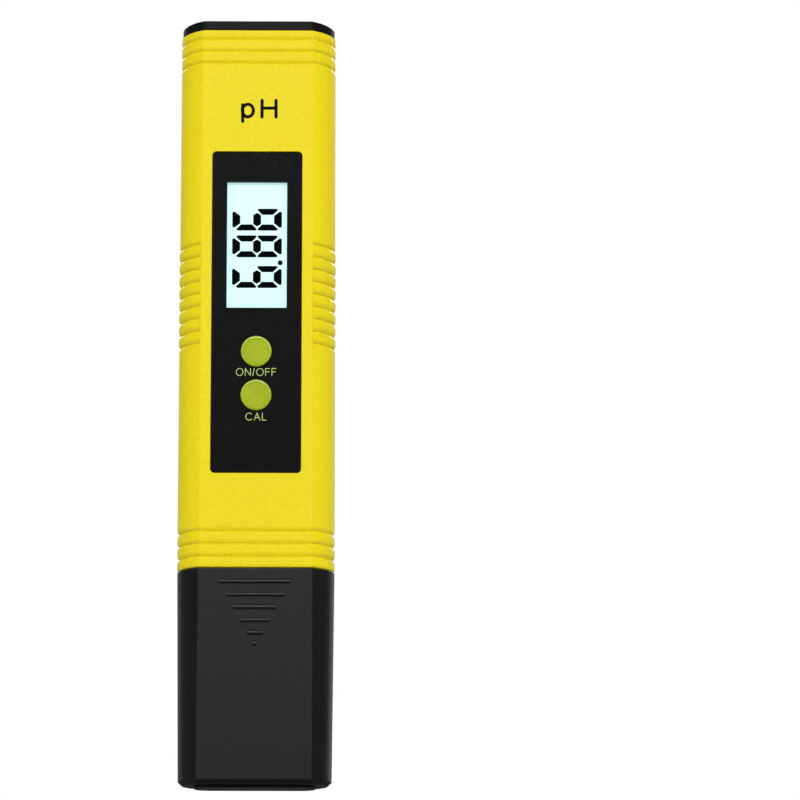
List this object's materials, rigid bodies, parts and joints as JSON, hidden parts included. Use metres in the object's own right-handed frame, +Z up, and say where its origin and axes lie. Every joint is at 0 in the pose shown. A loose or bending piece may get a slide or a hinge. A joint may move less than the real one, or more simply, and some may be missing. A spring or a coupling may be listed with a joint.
{
  "type": "digital ph meter",
  "caption": "Pen-shaped digital pH meter with a rotated display, two keys, a pocket clip, a pull-out battery drawer and a cap over its glass electrode.",
  "frame": {"origin": "underside of the protective cap's foot, on the axis of the pen's section", "axes": "+Z up along the pen towards the battery cap, -Y the way the display faces, +X to the right when the display is looked at"},
  "size_m": [0.0314, 0.0229, 0.154],
  "materials": {
    "yellow_abs": "fine satin moulding texture",
    "black_cap_abs": "satin, finely textured",
    "clip_plastic": "satin",
    "panel_black": "printed film, semi-gloss",
    "clear_window": "clear polycarbonate",
    "display_glass": "pale blue-green liquid crystal display",
    "reflector_foil": "diffuse foil",
    "lime_key": "semi-gloss",
    "inner_abs": "plain moulding",
    "white_plastic": "plain moulding",
    "circuit_board": "solder-masked glass epoxy",
    "chip_epoxy": "moulded epoxy",
    "component_ceramic": "fired ceramic",
    "steel": "plated",
    "black_steel": "black zinc",
    "contact_brass": "gold-flashed spring brass",
    "seal_rubber": "moulded",
    "electrode_glass": "clear",
    "porous_white": "porous polymer",
    "potting": "cast epoxy",
    "silver_wire": "silver and silver chloride",
    "lead_insulation": "soft sleeving"
  },
  "bodies": {
    "protective_cap": {"protective_cap": "black_cap_abs"},
    "handset": {"body_shell": "yellow_abs", "front_panel": "panel_black", "display_window": "clear_window", "lcd_glass": "display_glass", "lcd_reflector": "reflector_foil", "zebra_strips": "seal_rubber", "lcd_holder": "white_plastic", "power_switch_body": "chip_epoxy", "cal_switch_body": "chip_epoxy", "main_board": "circuit_board", "microcontroller": "chip_epoxy", "amplifier_chip": "chip_epoxy", "crystal": "steel", "capacitors": "component_ceramic", "resistors": "component_ceramic", "board_screws": "steel", "inner_chassis": "inner_abs", "chassis_screw": "black_steel", "battery_contacts": "contact_brass", "probe_collar": "inner_abs", "collar_seal": "seal_rubber", "electrode_body": "inner_abs", "glass_bulb": "electrode_glass", "glass_stem": "electrode_glass", "reference_junction": "porous_white", "electrode_seal": "potting", "measuring_wire": "silver_wire", "reference_wire": "silver_wire", "electrode_leads": "lead_insulation"},
    "power_button": {"power_button": "lime_key", "power_plunger": "chip_epoxy"},
    "cal_button": {"cal_button": "lime_key", "cal_plunger": "chip_epoxy"},
    "battery_drawer": {"battery_cap": "black_cap_abs", "battery_tray": "inner_abs", "cell_link": "contact_brass", "button_cell_left": "steel", "button_cell_right": "steel"},
    "battery_latch": {"battery_latch": "inner_abs"},
    "pocket_clip": {"pocket_clip": "clip_plastic"}
  },
  "joints": [
    {"name": "cap_pull", "type": "slide", "parent": "protective_cap", "child": "handset", "axis": [0, 0, 1], "range_m": [0, 0.04]},
    {"name": "power_press", "type": "slide", "parent": "handset", "child": "power_button", "axis": [0, 1, 0], "range_m": [0, 0.0005], "stiffness_N_per_m": 2500, "springref_m": -0.0003},
    {"name": "cal_press", "type": "slide", "parent": "handset", "child": "cal_button", "axis": [0, 1, 0], "range_m": [0, 0.0005], "stiffness_N_per_m": 2500, "springref_m": -0.0003},
    {"name": "battery_drawer_pull", "type": "slide", "parent": "handset", "child": "battery_drawer", "axis": [0, 0, 1], "range_m": [0, 0.022]},
    {"name": "latch_press", "type": "hinge", "parent": "battery_drawer", "child": "battery_latch", "pos_m": [0, 0.0065, 0.1493], "axis": [-1, 0, 0], "range_deg": [0, 6], "stiffness_Nm_per_rad": 0.3, "springref_deg": -1.72},
    {"name": "clip_lift", "type": "hinge", "parent": "handset", "child": "pocket_clip", "pos_m": [0, 0.00955, 0.1239], "axis": [1, 0, 0], "range_deg": [0, 4], "stiffness_Nm_per_rad": 4, "springref_deg": -0.57}
  ]
}
